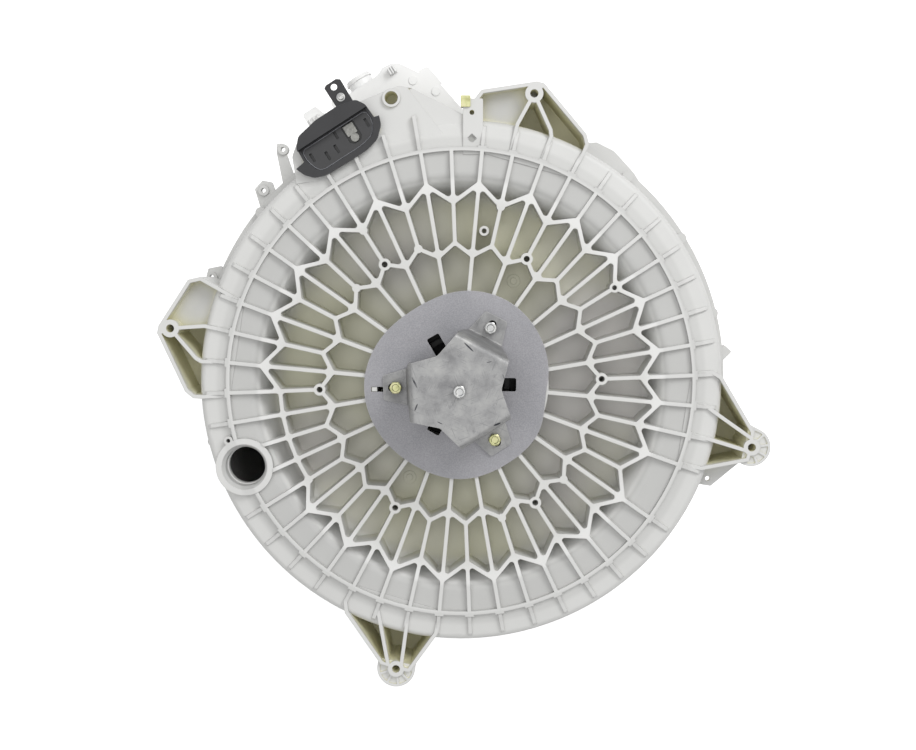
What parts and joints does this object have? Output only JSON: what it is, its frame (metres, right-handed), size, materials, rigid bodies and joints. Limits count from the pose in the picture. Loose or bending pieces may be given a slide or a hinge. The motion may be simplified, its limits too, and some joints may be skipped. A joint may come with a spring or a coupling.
{
  "type": "washer outer tub",
  "caption": "Front-load washer tub assembly: ribbed plastic rear half on a deep front half, steel drum on a shaft in a bearing hub, shipping bracket over the shaft end.",
  "frame": {"origin": "on the drum axis, in the plane of the door mouth's rim that the tub rests on", "axes": "+Z along the drum axis towards the ribbed rear face; the spring ears lie to -X and +Y, the damper ears to -Y and +X"},
  "size_m": [0.6654, 0.6932, 0.5623],
  "materials": {
    "tub_plastic": "moulded, satin",
    "gasket_rubber": "matte",
    "zinc_steel": "zinc plated",
    "yellow_zinc": "yellow zinc plated",
    "cast_aluminium": "cast",
    "plate_metal": "matte grey",
    "bearing_steel": "ground",
    "cage_plastic": "moulded",
    "stainless": "brushed",
    "shaft_steel": "turned",
    "lifter_plastic": "moulded",
    "black_plastic": "grained",
    "block_plastic": "smooth",
    "latch_steel": "stamped"
  },
  "bodies": {
    "tub": {"rear_tub_half": "tub_plastic", "front_tub_half": "tub_plastic", "inlet_manifold": "tub_plastic", "seam_gasket": "gasket_rubber", "shaft_seal": "gasket_rubber", "seam_screws": "zinc_steel", "manifold_screws": "zinc_steel", "connector_screw": "zinc_steel", "shipping_bracket": "zinc_steel", "bracket_bolts": "yellow_zinc", "bracket_bolt_plain": "zinc_steel", "plate_nuts": "zinc_steel", "bearing_hub": "cast_aluminium", "hub_plate": "plate_metal", "rear_bearing_outer_ring": "bearing_steel", "front_bearing_outer_ring": "bearing_steel", "strap_clip": "yellow_zinc", "connector_hood": "black_plastic", "connector_block": "block_plastic", "connector_latch": "latch_steel"},
    "drum": {"drum_shaft": "shaft_steel", "drum_spider": "cast_aluminium", "drum_back": "stainless", "drum_shell": "stainless", "drum_front": "stainless", "spider_screws": "zinc_steel", "drum_lifter_1": "lifter_plastic", "drum_lifter_2": "lifter_plastic", "drum_lifter_3": "lifter_plastic", "rear_bearing_inner_ring": "bearing_steel", "front_bearing_inner_ring": "bearing_steel", "shaft_bolt": "zinc_steel"},
    "rear_ball_set": {"rear_bearing_balls": "bearing_steel", "rear_bearing_cage": "cage_plastic"},
    "front_ball_set": {"front_bearing_balls": "bearing_steel", "front_bearing_cage": "cage_plastic"}
  },
  "joints": [
    {"name": "drum_spin", "type": "hinge", "parent": "tub", "child": "drum", "pos_m": [0, 0, 0.42], "axis": [0, 0, 1], "continuous": true},
    {"name": "rear_balls_orbit", "type": "hinge", "parent": "tub", "child": "rear_ball_set", "pos_m": [0, 0, 0.454], "axis": [0, 0, 1], "continuous": true},
    {"name": "front_balls_orbit", "type": "hinge", "parent": "tub", "child": "front_ball_set", "pos_m": [0, 0, 0.3945], "axis": [0, 0, 1], "continuous": true}
  ],
  "couplings": [
    {"joint": "rear_balls_orbit", "follows": "drum_spin", "ratio": 0.3957},
    {"joint": "front_balls_orbit", "follows": "drum_spin", "ratio": 0.3963}
  ]
}
